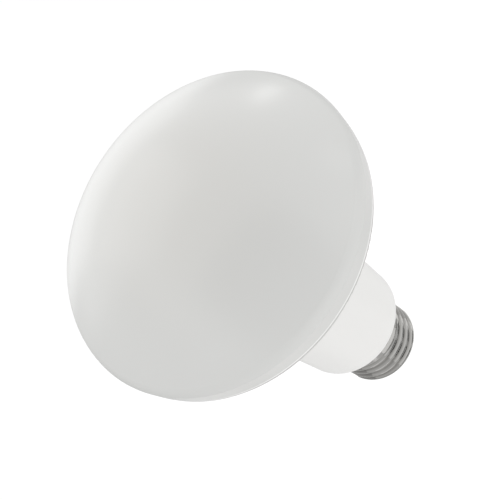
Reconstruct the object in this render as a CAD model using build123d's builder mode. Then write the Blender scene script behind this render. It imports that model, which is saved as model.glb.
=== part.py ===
from build123d import *
import os
from math import atan2, ceil, cos, degrees, hypot, pi, radians, sin

os.makedirs("parts", exist_ok=True)

# Reflector lamp with a screw cap. All lengths are in millimetres.
# +Z runs along the lamp's axis, from the cap towards the diffuser.
# The origin is on the axis, in the plane where the cap's shell meets the housing.

# Diffuser, the opal front cover
rim_radius = 47.6  # widest circle of the lamp, at the foot of the shoulder
rim_height = 80.3  # the same circle, above the origin
dome_height = 22.3  # from the widest circle to the apex
shoulder_radius = 6.0
shoulder_lean = 12.0  # degrees between the shoulder's foot and the axis
skirt_height = 5.1  # from the widest circle down to the seam
skirt_inset = 0.6  # how far the skirt draws in towards the seam
skirt_edge_round = 0.35
cover_wall = 1.6
tongue_length = 2.0  # plugs into the housing's mouth
tongue_wall = 1.3
tongue_clearance = 0.12  # radial

# Housing: rim, bell, neck and the spigot inside the cap
rim_step = 0.15  # the rim is set in from the diffuser's edge
rim_ledge = 2.6  # width of the rim that carries the diffuser
rim_band_height = 0.5
rim_round = 2.2
deck_clearance = 0.5  # between the tongue's end and the deck below it
bell_angle = 50.0  # degrees between the bell and the axis, at the rim
bell_height = 38.0  # where the neck opens into the bell
neck_foot_radius = 17.75
neck_taper = 3.2  # degrees
neck_foot_round = 0.4
spigot_clearance = 0.05  # radial, between the spigot and the thread's inner side
spigot_end_gap = 1.2  # between the spigot and the insulator
spigot_chamfer = 0.8

# Screw shell, rolled from sheet with a right-hand knuckle thread
band_radius = 13.2
band_height = 9.2
thread_step = 0.08  # the rolled sheet lies this far inside the band's two faces
thread_depth = 0.775
thread_pitch = 3.629
thread_fade_in = 1.5  # length over which the thread rises, below the band
thread_fade_out = 1.2  # length over which it runs out, above the foot
thread_length = 13.0  # from the band to the thread's end
first_crest_drop = 1.31  # from the band to the first crest, on the +X side
roll_overlap = 0.25  # the rolled length runs this far into the band and the foot
sheet_wall = 0.3
foot_length = 0.5  # from the thread's end to where the band's line and the lip's line cross
foot_round = 0.9
lip_drop = 1.6  # from there to the lip's edge
lip_radius = 9.4

# Cap insulator, moulded round the lip's edge
collar_width = 1.0  # reach past the lip's edge inside the cap
collar_height = 1.4
bead_width = 0.35  # reach past the lip's edge outside the cap
bead_height = 0.4
nose_length = 1.7  # from the lip's edge to the contact's seat
nose_radius = 5.6
nose_chamfer = 0.4

# Centre contact
contact_radius = 4.7
contact_rim = 0.4
contact_rise = 1.05  # the dome, beyond its rim
shank_radius = 2.0
shank_length = 2.6
shank_clearance = 0.03

# Values that more than one piece reads
seam_height = rim_height - skirt_height
seam_radius = rim_radius - skirt_inset
housing_rim_radius = seam_radius - rim_step
mouth_radius = housing_rim_radius - rim_ledge
crest_radius = band_radius - thread_step
root_radius = crest_radius - thread_depth
band_wall = sheet_wall + 2 * thread_step
first_crest_depth = band_height + first_crest_drop
thread_end_depth = band_height + thread_length
foot_depth = thread_end_depth + foot_length
lip_depth = foot_depth + lip_drop
nose_depth = lip_depth + nose_length


def lip_point(along, across):
    """A point measured from the lip's outer edge, along the sheet and across it into the cap."""
    run = band_radius - lip_radius
    rise = lip_depth - foot_depth
    slant = hypot(run, rise)
    r = lip_radius + (along * run - across * rise) / slant
    z = -lip_depth + (along * rise + across * run) / slant
    return r, z


collar_r, collar_z = lip_point(collar_width, band_wall)
insulator_top = collar_z + collar_height


def dome_arcs(inset):
    """The dome's arc and the shoulder's arc, parallel to the outer face."""
    lean = radians(shoulder_lean)
    bend_r = rim_radius - shoulder_radius * cos(lean)
    bend_z = rim_height - shoulder_radius * sin(lean)
    reach = rim_height + dome_height - bend_z
    dome_radius = (bend_r**2 + reach**2 - shoulder_radius**2) / (2 * (reach - shoulder_radius))
    dome_z = rim_height + dome_height - dome_radius
    join = degrees(atan2(bend_z - dome_z, bend_r))
    dome = CenterArc((0, dome_z), dome_radius - inset, join, 90 - join)
    shoulder = CenterArc((bend_r, bend_z), shoulder_radius - inset, shoulder_lean, join - shoulder_lean)
    return dome, shoulder


# Diffuser
tongue_outer = mouth_radius - tongue_clearance
tongue_inner = tongue_outer - tongue_wall
tongue_end = seam_height - tongue_length

with BuildPart() as diffuser:
    with BuildSketch(Plane.XZ):
        with BuildLine():
            outer_dome, outer_shoulder = dome_arcs(0)
            inner_dome, inner_shoulder = dome_arcs(cover_wall)
            Line(outer_dome @ 1, inner_dome @ 1)
            Line(outer_shoulder @ 0, (seam_radius, seam_height))
            Polyline(
                (seam_radius, seam_height),
                (tongue_outer, seam_height),
                (tongue_outer, tongue_end),
                (tongue_inner, tongue_end),
                (tongue_inner, seam_height),
                inner_shoulder @ 0,
            )
        make_face()
    revolve(axis=Axis.Z)
    circles = diffuser.edges().filter_by(GeomType.CIRCLE)
    fillet(circles.sort_by_distance((seam_radius, 0, seam_height))[0], skirt_edge_round)
diffuser.part.label = "diffuser"
export_step(diffuser.part, "parts/diffuser.step")

# Housing
deck_height = tongue_end - deck_clearance
spigot_radius = root_radius - sheet_wall - spigot_clearance
spigot_end = insulator_top + spigot_end_gap

with BuildPart() as housing:
    with BuildSketch(Plane.XZ):
        with BuildLine():
            foot = CenterArc(
                (neck_foot_radius - neck_foot_round, neck_foot_round), neck_foot_round, -90, 90 - neck_taper
            )
            neck_length = (bell_height - (foot @ 1).Y) / cos(radians(neck_taper))
            neck = PolarLine(foot @ 1, neck_length, 90 - neck_taper)
            rim_edge = CenterArc(
                (housing_rim_radius - rim_round, seam_height - rim_band_height), rim_round, 0, -bell_angle
            )
            Spline(neck @ 1, rim_edge @ 1, tangents=(neck % 1, (rim_edge % 1) * -1))
            Polyline(
                rim_edge @ 0,
                (housing_rim_radius, seam_height),
                (mouth_radius, seam_height),
                (mouth_radius, deck_height),
                (0, deck_height),
                (0, spigot_end),
                (spigot_radius - spigot_chamfer, spigot_end),
                (spigot_radius, spigot_end + spigot_chamfer),
                (spigot_radius, 0),
                foot @ 0,
            )
        make_face()
    revolve(axis=Axis.Z)
housing.part.label = "housing"
export_step(housing.part, "parts/housing.step")

# Screw shell: the thread is a rounded wave round the sheet that climbs one pitch in each turn.
# Its section is drawn every few degrees and lofted through half a turn at a time.
rolled_top = -band_height + roll_overlap
rolled_end = -thread_end_depth
foot_top = rolled_end + roll_overlap
points_per_pitch = 10
section_step = 20  # degrees
point_count = ceil((rolled_top - rolled_end) / thread_pitch * points_per_pitch) + 1
wave_gain = 3 / (2 + cos(2 * pi / points_per_pitch))  # a cubic curve runs a little inside its points
even_knots = [0] * 3 + list(range(point_count - 2)) + [point_count - 3] * 3


def ease(distance, fade):
    """Rises smoothly from 0 to 1 over the length of the fade."""
    t = min(max(distance / fade, 0), 1)
    return t * t * (3 - 2 * t)


def sheet_line(azimuth, inset):
    """Control points down one face of the rolled sheet, at one azimuth in degrees."""
    points = []
    for i in range(point_count):
        z = rolled_top + (rolled_end - rolled_top) * i / (point_count - 1)
        turn = (z + first_crest_depth) / thread_pitch - azimuth / 360
        wave = (1 - wave_gain * cos(2 * pi * turn)) / 2
        rise = ease(-band_height - z, thread_fade_in) * ease(z - foot_top, thread_fade_out)
        points.append((crest_radius - inset - thread_depth * wave * rise, z))
    return points


def radial_plane(azimuth):
    """The half plane of a section: x away from the axis, y along it."""
    angle = radians(azimuth)
    return Plane(origin=(0, 0, 0), x_dir=(cos(angle), sin(angle), 0), z_dir=(sin(angle), -cos(angle), 0))


with BuildPart() as screw_shell:
    for half_turn in (0, 180):
        for azimuth in range(half_turn, half_turn + 180 + section_step, section_step):
            with BuildSketch(radial_plane(azimuth)):
                with BuildLine():
                    outside = BSpline(sheet_line(azimuth, 0), even_knots, 3)
                    inside = BSpline(sheet_line(azimuth, sheet_wall), even_knots, 3)
                    Line(outside @ 0, inside @ 0)
                    Line(outside @ 1, inside @ 1)
                make_face()
        loft()
    with BuildSketch(Plane.XY.offset(-band_height)):
        Circle(band_radius)
        Circle(band_radius - band_wall, mode=Mode.SUBTRACT)
    extrude(amount=band_height)
    with BuildSketch(Plane.XZ) as foot_section:
        with BuildLine():
            bend = (band_radius, -foot_depth)
            foot_line = Polyline((band_radius, foot_top), bend, lip_point(0, 0))
            offset(foot_line, amount=band_wall, kind=Kind.INTERSECTION, side=Side.RIGHT)
        make_face()
        fillet(foot_section.vertices().sort_by_distance(bend)[0], foot_round)
    revolve(axis=Axis.Z)
screw_shell.part.label = "screw_shell"
export_step(screw_shell.part, "parts/screw_shell.step")

# Cap insulator
with BuildPart() as cap_insulator:
    with BuildSketch(Plane.XZ):
        with BuildLine():
            Polyline(
                (shank_radius + shank_clearance, insulator_top),
                (shank_radius + shank_clearance, -nose_depth),
                (nose_radius, -nose_depth),
                lip_point(bead_width, -bead_height),
                lip_point(bead_width, 0),
                lip_point(0, 0),
                lip_point(0, band_wall),
                (collar_r, collar_z),
                (collar_r, insulator_top),
                close=True,
            )
        make_face()
    revolve(axis=Axis.Z)
    circles = cap_insulator.edges().filter_by(GeomType.CIRCLE)
    chamfer(circles.sort_by_distance((nose_radius, 0, -nose_depth))[0], nose_chamfer)
cap_insulator.part.label = "cap_insulator"
export_step(cap_insulator.part, "parts/cap_insulator.step")

# Centre contact
contact_rim_end = -nose_depth - contact_rim

with BuildPart() as centre_contact:
    with BuildSketch(Plane.XZ):
        with BuildLine():
            dome = TangentArc((0, contact_rim_end - contact_rise), (contact_radius, contact_rim_end), tangent=(1, 0))
            Polyline(
                dome @ 1,
                (contact_radius, -nose_depth),
                (shank_radius, -nose_depth),
                (shank_radius, -nose_depth + shank_length),
                (0, -nose_depth + shank_length),
                dome @ 0,
            )
        make_face()
    revolve(axis=Axis.Z)
centre_contact.part.label = "centre_contact"
export_step(centre_contact.part, "parts/centre_contact.step")
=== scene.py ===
from math import cos, pi, radians, sin

import bmesh
import bpy
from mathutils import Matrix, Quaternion, Vector

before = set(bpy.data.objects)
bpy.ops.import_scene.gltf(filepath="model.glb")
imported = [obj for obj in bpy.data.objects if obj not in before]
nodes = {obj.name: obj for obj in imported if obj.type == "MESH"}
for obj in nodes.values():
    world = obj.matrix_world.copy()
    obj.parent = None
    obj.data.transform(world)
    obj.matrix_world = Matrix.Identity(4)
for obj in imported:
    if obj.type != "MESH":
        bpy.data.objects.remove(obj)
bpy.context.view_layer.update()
print("frame loaded:", ", ".join(sorted(nodes)))


class Signal:  # wraps a node's output, so that shader maths reads as plain expressions
    def __init__(self, tree, socket=None):
        self.tree = tree
        self.socket = socket

    def node(self, kind, settings=None, sockets=None, out=0):
        made = self.tree.nodes.new(kind)
        for name, value in (settings or {}).items():
            setattr(made, name, value)
        for name, value in (sockets or {}).items():
            if isinstance(value, Signal):
                self.tree.links.new(value.socket, made.inputs[name])
            else:
                made.inputs[name].default_value = value
        return Signal(self.tree, made.outputs[out] if made.outputs else None)

    def other(self, name):  # another output of the same node
        return Signal(self.tree, self.socket.node.outputs[name])

    def maths(self, operation, left, right=0.0):
        return self.node("ShaderNodeMath", {"operation": operation}, {0: left, 1: right})

    def __add__(self, other):
        return self.maths("ADD", self, other)

    def __radd__(self, other):
        return self.maths("ADD", other, self)

    def __sub__(self, other):
        return self.maths("SUBTRACT", self, other)

    def __rsub__(self, other):
        return self.maths("SUBTRACT", other, self)

    def __mul__(self, other):
        return self.maths("MULTIPLY", self, other)

    def __rmul__(self, other):
        return self.maths("MULTIPLY", other, self)

    def __pow__(self, other):
        return self.maths("POWER", self, other)


def newMaterial(name):
    made = bpy.data.materials.new(name)
    made.use_nodes = True
    made.node_tree.nodes.clear()
    return made, Signal(made.node_tree)


def surface(shade, sockets):  # the shader and the output of a piece's material
    shader = shade.node("ShaderNodeBsdfPrincipled", {}, sockets)
    shade.node("ShaderNodeOutputMaterial", {}, {"Surface": shader})


def objectPoint(shade):
    return shade.node("ShaderNodeTexCoord", out="Object")


def heightOf(shade, point):  # above the frame's origin, in metres
    return shade.node("ShaderNodeSeparateXYZ", {}, {0: point}, out="Z")


def radiusOf(shade, point):  # from the lamp's axis, in metres
    x = shade.node("ShaderNodeSeparateXYZ", {}, {0: point}, out="X")
    y = x.other("Y")
    return (x * x + y * y) ** 0.5


def mottle(shade, point, scale, detail=2.0, stretch=(1, 1, 1)):  # soft noise from 0 to 1
    placed = shade.node("ShaderNodeMapping", {}, {"Vector": point, "Scale": stretch})
    sockets = {"Vector": placed, "Scale": scale, "Detail": detail}
    return shade.node("ShaderNodeTexNoise", {}, sockets)


def uneven(level, noise, spread):  # a level that the noise moves up and down
    return level + (noise - 0.5) * spread


def between(shade, value, low, high):  # 0 at low, 1 at high, smooth in between
    settings = {"interpolation_type": "SMOOTHSTEP"}
    sockets = {"Value": value, "From Min": low, "From Max": high}
    return shade.node("ShaderNodeMapRange", settings, sockets)


def tint(shade, factor, first, second):  # from the first tone, which may be a signal, to the second
    start = first if isinstance(first, Signal) else (*first, 1)
    sockets = {0: factor, 6: start, 7: (*second, 1)}  # the colour sockets' own numbers
    return shade.node("ShaderNodeMix", {"data_type": "RGBA"}, sockets, out=2)


def bumped(shade, height, strength, distance):
    sockets = {"Height": height, "Strength": strength, "Distance": distance}
    return shade.node("ShaderNodeBump", {}, sockets)


# Opal cover: satin moulding, with painted shade a little darker and warmer towards the middle,
# standing for the dark cavity behind it
opalCover = {
    "rimTone": (0.708, 0.711, 0.698),
    # painted shade at the middle of the front
    "centreShadeTone": (0.655, 0.649, 0.626),
    "centreRadius": 0.006,  # metres, as all lengths here
    "rimRadius": 0.046,
    "shadeRadiusShare": 0.84,  # how much of the front's painted shade follows the radius
    "cloudShare": 0.16,  # and how much of it is soft cloud
    "cloudScale": 22,
    # painted light: the skirt is a lighter tone than the front
    "litSkirtTone": (0.728, 0.728, 0.713),
    "creaseHeight": 0.08035,  # the skirt's upper end, above the frame's origin
    "creaseWidth": 0.0005,
    "roughness": 0.30,
    "roughnessSpread": 0.05,
    "smearScale": 90,
    "refraction": 1.49,
    "grainScale": 2600,
    "grainStrength": 0.25,
    "grainDepth": 0.00002,
}


def makeOpalMaterial(look):
    made, shade = newMaterial("opalCover")
    point = objectPoint(shade)
    # painted shade: the front's tone darkens towards the middle, as the cavity behind it would
    outward = between(shade, radiusOf(shade, point), look["centreRadius"], look["rimRadius"])
    cloud = mottle(shade, point, look["cloudScale"])
    share = outward * look["shadeRadiusShare"] + cloud * look["cloudShare"]
    front = tint(shade, share, look["centreShadeTone"], look["rimTone"])
    crease = look["creaseHeight"]
    # painted light on the skirt, from the crease down
    skirt = between(shade, heightOf(shade, point), crease, crease - look["creaseWidth"])
    smear = mottle(shade, point, look["smearScale"])
    grain = mottle(shade, point, look["grainScale"], detail=1.0)
    surface(shade, {
        "Base Color": tint(shade, skirt, front, look["litSkirtTone"]),
        "Roughness": uneven(look["roughness"], smear, look["roughnessSpread"]),
        "IOR": look["refraction"],
        "Normal": bumped(shade, grain, look["grainStrength"], look["grainDepth"]),
    })
    return made


# White body: smooth moulding with half gloss, painted shade under its rim and a painted highlight
# on the band that touches the cover
whiteBody = {
    "tone": (0.885, 0.880, 0.865),
    "shadeTone": (0.870, 0.865, 0.850),
    "cloudScale": 35,
    "rimTone": (0.60, 0.595, 0.58),  # painted shade on the rim's rounded underside
    "rimShadeHeight": 0.0733,  # where the painted shade is full, above the frame's origin
    "rimShadeFade": 0.0008,
    "edgeHighlightTone": (0.93, 0.93, 0.92),  # painted highlight on the thin band that touches the cover
    "edgeHighlightHeight": 0.0747,
    "edgeHighlightFade": 0.0001,
    "roughness": 0.42,
    "roughnessSpread": 0.06,
    "smearScale": 150,
    "refraction": 1.52,
    "waveScale": 420,
    "waveStrength": 0.3,
    "waveDepth": 0.00003,
}


def makeBodyMaterial(look):
    made, shade = newMaterial("whiteBody")
    point = objectPoint(shade)
    height = heightOf(shade, point)
    cloud = mottle(shade, point, look["cloudScale"])
    plain = tint(shade, cloud, look["shadeTone"], look["tone"])
    # painted shade darkens the rim's rounded underside
    rim = between(shade, height, look["rimShadeHeight"] - look["rimShadeFade"], look["rimShadeHeight"])
    rimShaded = tint(shade, rim, plain, look["rimTone"])
    # painted highlight along the thin band that touches the cover
    edgeHighlight = between(shade, height, look["edgeHighlightHeight"] - look["edgeHighlightFade"], look["edgeHighlightHeight"])
    smear = mottle(shade, point, look["smearScale"])
    wave = mottle(shade, point, look["waveScale"], detail=1.0)
    surface(shade, {
        "Base Color": tint(shade, edgeHighlight, rimShaded, look["edgeHighlightTone"]),
        "Roughness": uneven(look["roughness"], smear, look["roughnessSpread"]),
        "IOR": look["refraction"],
        "Normal": bumped(shade, wave, look["waveStrength"], look["waveDepth"]),
    })
    return made


# Screw shell: bright nickel plating on rolled sheet, rougher in the thread's grooves, with painted
# shade darkening them
platedShell = {
    "tone": (0.74, 0.73, 0.71),
    "grooveShadeTone": (0.40, 0.39, 0.37),
    "crestRadius": 0.01295,
    "grooveRadius": 0.0124,
    "crestShare": 0.7,  # how much of the tone follows the radius, as painted shade in the grooves
    "stainShare": 0.3,  # and how much of it is stain
    "stainScale": 240,
    "roughness": 0.04,
    "grooveRoughness": 0.06,
    "roughnessSpread": 0.04,
    "lineScale": 60,
    "lineStretch": (1, 1, 45),  # draws the noise out into fine lines round the shell
    "lineStrength": 0.35,
    "lineDepth": 0.000004,
}


def makeShellMaterial(look):
    made, shade = newMaterial("platedShell")
    point = objectPoint(shade)
    # painted shade: the grooves darker than the crests, mixed with real stain
    crest = between(shade, radiusOf(shade, point), look["grooveRadius"], look["crestRadius"])
    stain = mottle(shade, point, look["stainScale"], detail=3.0)
    share = crest * look["crestShare"] + stain * look["stainShare"]
    lines = mottle(shade, point, look["lineScale"], detail=3.0, stretch=look["lineStretch"])
    polish = look["grooveRoughness"] + crest * (look["roughness"] - look["grooveRoughness"])
    surface(shade, {
        "Base Color": tint(shade, share, look["grooveShadeTone"], look["tone"]),
        "Metallic": 1.0,
        "Roughness": uneven(polish, lines, look["roughnessSpread"]),
        "Normal": bumped(shade, lines, look["lineStrength"], look["lineDepth"]),
    })
    return made


# Cap insulator: black moulding with half gloss and a little dust
capInsulator = {
    "tone": (0.018, 0.018, 0.019),
    "dustTone": (0.040, 0.039, 0.037),
    "dustScale": 500,
    "dustRange": (0.45, 0.75),  # the noise levels where dust begins and where it is full
    "roughness": 0.32,
    "dustRoughness": 0.15,  # added where the dust is full
    "grainScale": 1800,
    "grainStrength": 0.3,
    "grainDepth": 0.00002,
}


def makeInsulatorMaterial(look):
    made, shade = newMaterial("blackInsulator")
    point = objectPoint(shade)
    dust = between(shade, mottle(shade, point, look["dustScale"], detail=4.0), *look["dustRange"])
    grain = mottle(shade, point, look["grainScale"])
    surface(shade, {
        "Base Color": tint(shade, dust, look["tone"], look["dustTone"]),
        "Roughness": look["roughness"] + dust * look["dustRoughness"],
        "Normal": bumped(shade, grain, look["grainStrength"], look["grainDepth"]),
    })
    return made


# Centre contact: pressed and plated, with fine rings round its middle
centreContact = {
    "tone": (0.68, 0.66, 0.61),
    "wornTone": (0.58, 0.53, 0.44),
    "wearScale": 700,
    "wearFade": 60,  # how fast the wear thins out from the middle, per metre
    "wearRange": (0.2, 0.6),  # the levels where wear begins and where it is full
    "roughness": 0.2,
    "wearRoughness": 0.12,  # added where the wear is full
    "ringsPerMetre": 9000,
    "ringStrength": 0.4,
    "ringDepth": 0.000006,
}


def makeContactMaterial(look):
    made, shade = newMaterial("platedContact")
    point = objectPoint(shade)
    radius = radiusOf(shade, point)
    patches = mottle(shade, point, look["wearScale"], detail=3.0)
    wear = between(shade, patches - radius * look["wearFade"], *look["wearRange"])
    rings = shade.maths("SINE", radius * (2 * pi * look["ringsPerMetre"]))
    surface(shade, {
        "Base Color": tint(shade, wear, look["tone"], look["wornTone"]),
        "Metallic": 1.0,
        "Roughness": look["roughness"] + wear * look["wearRoughness"],
        "Normal": bumped(shade, rings, look["ringStrength"], look["ringDepth"]),
    })
    return made


def dress(name, material):  # a CAD node keeps its mesh and gets a better finish
    slots = nodes[name].data.materials
    slots.clear()
    slots.append(material)


dress("diffuser", makeOpalMaterial(opalCover))
dress("housing", makeBodyMaterial(whiteBody))
dress("screw_shell", makeShellMaterial(platedShell))
dress("cap_insulator", makeInsulatorMaterial(capInsulator))
dress("centre_contact", makeContactMaterial(centreContact))
print("finishes made")

# Stage: pale floor, white surroundings, soft lamps, and the cards that the lamp mirrors
stage = {
    "floorSize": 40.0,
    "floorHeight": -1.1,
    "floorTone": (0.86, 0.86, 0.86),
    "floorGlow": 1.3,
    "floorGlowShare": 0.45,  # how much of the glow the camera and gloss see
    "skyLevel": 0.86,  # what the sky gives as light
    "seenLevel": 1.0,  # what the camera and gloss see
    "middle": (0, 0, 0.03),  # lamps and panels stand round this point
    "cardMiddle": (0, 0, -0.015),  # and cards round this one, inside the cap
}
# Each line: azimuth and elevation in degrees, distance, width and height in metres, level
lamps = {
    "keyLamp": (98, 38, 1.3, 1.0, 1.0, 0.92),
    "stripLamp": (42, 8, 1.0, 0.06, 0.22, 7.0),
    "shoulderLamp": (324, 21, 1.0, 0.24, 0.12, 2.86),
    "edgeLamp": (353, 25, 1.0, 0.20, 0.10, 2.52),
    "backPanel": (91, -15, 1.3, 1.15, 1.0, 0.92),
}
panels = {  # wide soft lamps that no reflection shows
    "frontPanel": (272, -25, 0.9, 0.9, 0.5, 1.04),
    "rightPanel": (325, -20, 0.9, 0.9, 0.5, 0.15),
    "leftPanel": (180, 18, 1.3, 0.9, 0.9, 0.42),
    "sidePanel": (30, 5, 1.3, 0.5, 0.9, 0.3),
}
cards = {  # only reflections show them
    "lowCard": (270, -89.9, 0.56, 12.0, 12.0, 0.47),
    "blackCardRight": (328, -44, 0.40, 0.17, 0.17, 0.0),
    "blackCardLeft": (282, -45.5, 0.40, 0.20, 0.14, 0.0),
    "blackCardTop": (282, -25, 0.43, 0.15, 0.08, 0.10),
    "lightTable": (290, -59, 0.46, 0.35, 0.062, 0.76),
    "leftTable": (224, -46, 0.48, 0.26, 0.18, 0.90),
    "sideCard": (162, -6, 0.60, 0.68, 1.47, 0.31),
    "frontCard": (297, 9.6, 0.65, 2.47, 0.47, 0.67),
    "leftCard": (221, 11.5, 0.70, 0.82, 0.69, 0.47),
    "rightCard": (342, -31, 0.56, 0.23, 0.40, 0.88),
    "farCard": (36, -50, 0.58, 0.30, 0.52, 0.70),
    "highCard": (264, 58, 0.75, 0.80, 0.85, 0.0),
    "skirtCard": (145, -54, 0.50, 0.28, 0.12, 0.80),
}


def outFrom(middle, azimuth, elevation, distance):
    turn, rise = radians(azimuth), radians(elevation)
    way = Vector((cos(turn) * cos(rise), sin(turn) * cos(rise), sin(rise)))
    return Vector(middle) + way * distance


def face(thing, target):
    way = Vector(target) - thing.location
    thing.rotation_mode = "QUATERNION"
    thing.rotation_quaternion = way.to_track_quat("-Z", "Y")


def addObject(name, data):
    made = bpy.data.objects.new(name, data)
    bpy.context.scene.collection.objects.link(made)
    return made


def plainSheet(name, width, depth):  # a flat rectangle round its own middle
    sheet = bmesh.new()
    bmesh.ops.create_grid(sheet, x_segments=1, y_segments=1, size=0.5)
    bmesh.ops.scale(sheet, verts=sheet.verts, vec=(width, depth, 1))
    mesh = bpy.data.meshes.new(name)
    sheet.to_mesh(mesh)
    sheet.free()
    return addObject(name, mesh)


def makeFloor():
    floor = plainSheet("floor", stage["floorSize"], stage["floorSize"])
    floor.location.z = stage["floorHeight"]
    made, shade = newMaterial("paleFloor")
    path = shade.node("ShaderNodeLightPath")
    seen = path.other("Is Camera Ray") + path.other("Is Glossy Ray")
    paint = shade.node("ShaderNodeBsdfDiffuse", {}, {"Color": (*stage["floorTone"], 1)})
    glow = shade.node("ShaderNodeEmission", {}, {"Strength": stage["floorGlow"]})
    share = seen * stage["floorGlowShare"]
    lit = shade.node("ShaderNodeMixShader", {}, {0: share, 1: paint, 2: glow})
    below = shade.node("ShaderNodeNewGeometry", out="Backfacing")
    clear = shade.node("ShaderNodeBsdfTransparent")  # so that a camera below sees through it
    both = shade.node("ShaderNodeMixShader", {}, {0: below, 1: lit, 2: clear})
    shade.node("ShaderNodeOutputMaterial", {}, {"Surface": both})
    floor.data.materials.append(made)


def makeWorld():
    world = bpy.data.worlds.new("surroundings")
    bpy.context.scene.world = world
    world.use_nodes = True
    world.node_tree.nodes.clear()
    shade = Signal(world.node_tree)
    path = shade.node("ShaderNodeLightPath")
    seen = path.other("Is Camera Ray") + path.other("Is Glossy Ray")
    level = stage["skyLevel"] + seen * (stage["seenLevel"] - stage["skyLevel"])
    sky = shade.node("ShaderNodeBackground", {}, {"Color": (1, 1, 1, 1), "Strength": level})
    shade.node("ShaderNodeOutputWorld", {}, {"Surface": sky})


def makeLamp(name, azimuth, elevation, distance, width, height, level, mirrored):
    data = bpy.data.lights.new(name, "AREA")
    data.shape = "RECTANGLE"
    data.size = width
    data.size_y = height
    data.energy = level * pi * width * height  # so that the level is how bright its face looks
    lamp = addObject(name, data)
    lamp.location = outFrom(stage["middle"], azimuth, elevation, distance)
    face(lamp, stage["middle"])
    lamp.visible_camera = False
    lamp.visible_glossy = mirrored


def makeCard(name, azimuth, elevation, distance, width, height, level):
    card = plainSheet(name, width, height)
    card.location = outFrom(stage["cardMiddle"], azimuth, elevation, distance)
    face(card, stage["cardMiddle"])
    paper, shade = newMaterial(name + "Paper")
    glow = shade.node("ShaderNodeEmission", {}, {"Strength": level})
    shade.node("ShaderNodeOutputMaterial", {}, {"Surface": glow})
    card.data.materials.append(paper)
    card.visible_camera = False
    card.visible_diffuse = False
    card.visible_shadow = False
    card.visible_transmission = False


makeFloor()
makeWorld()
for name, place in lamps.items():
    makeLamp(name, *place, True)
for name, place in panels.items():
    makeLamp(name, *place, False)
for name, place in cards.items():
    makeCard(name, *place)
print("stage set")

# Camera: as the photograph sees the lamp, with its front to the upper left
view = {
    "place": (0, -0.26484, 0.39946),
    "aim": (0.00169, 0.02923, 0.02283),
    "roll": -56.15,  # degrees
    "lens": 109.5,  # millimetres
    "nearest": 0.01,
    "farthest": 60,
}
camera = addObject("camera", bpy.data.cameras.new("camera"))
camera.data.lens = view["lens"]
camera.data.clip_start = view["nearest"]
camera.data.clip_end = view["farthest"]
camera.location = view["place"]
face(camera, view["aim"])
rolled = Quaternion((0, 0, 1), radians(view["roll"]))
camera.rotation_quaternion = camera.rotation_quaternion @ rolled
bpy.context.scene.camera = camera
bpy.context.scene.view_settings.view_transform = "Standard"
print("camera placed")
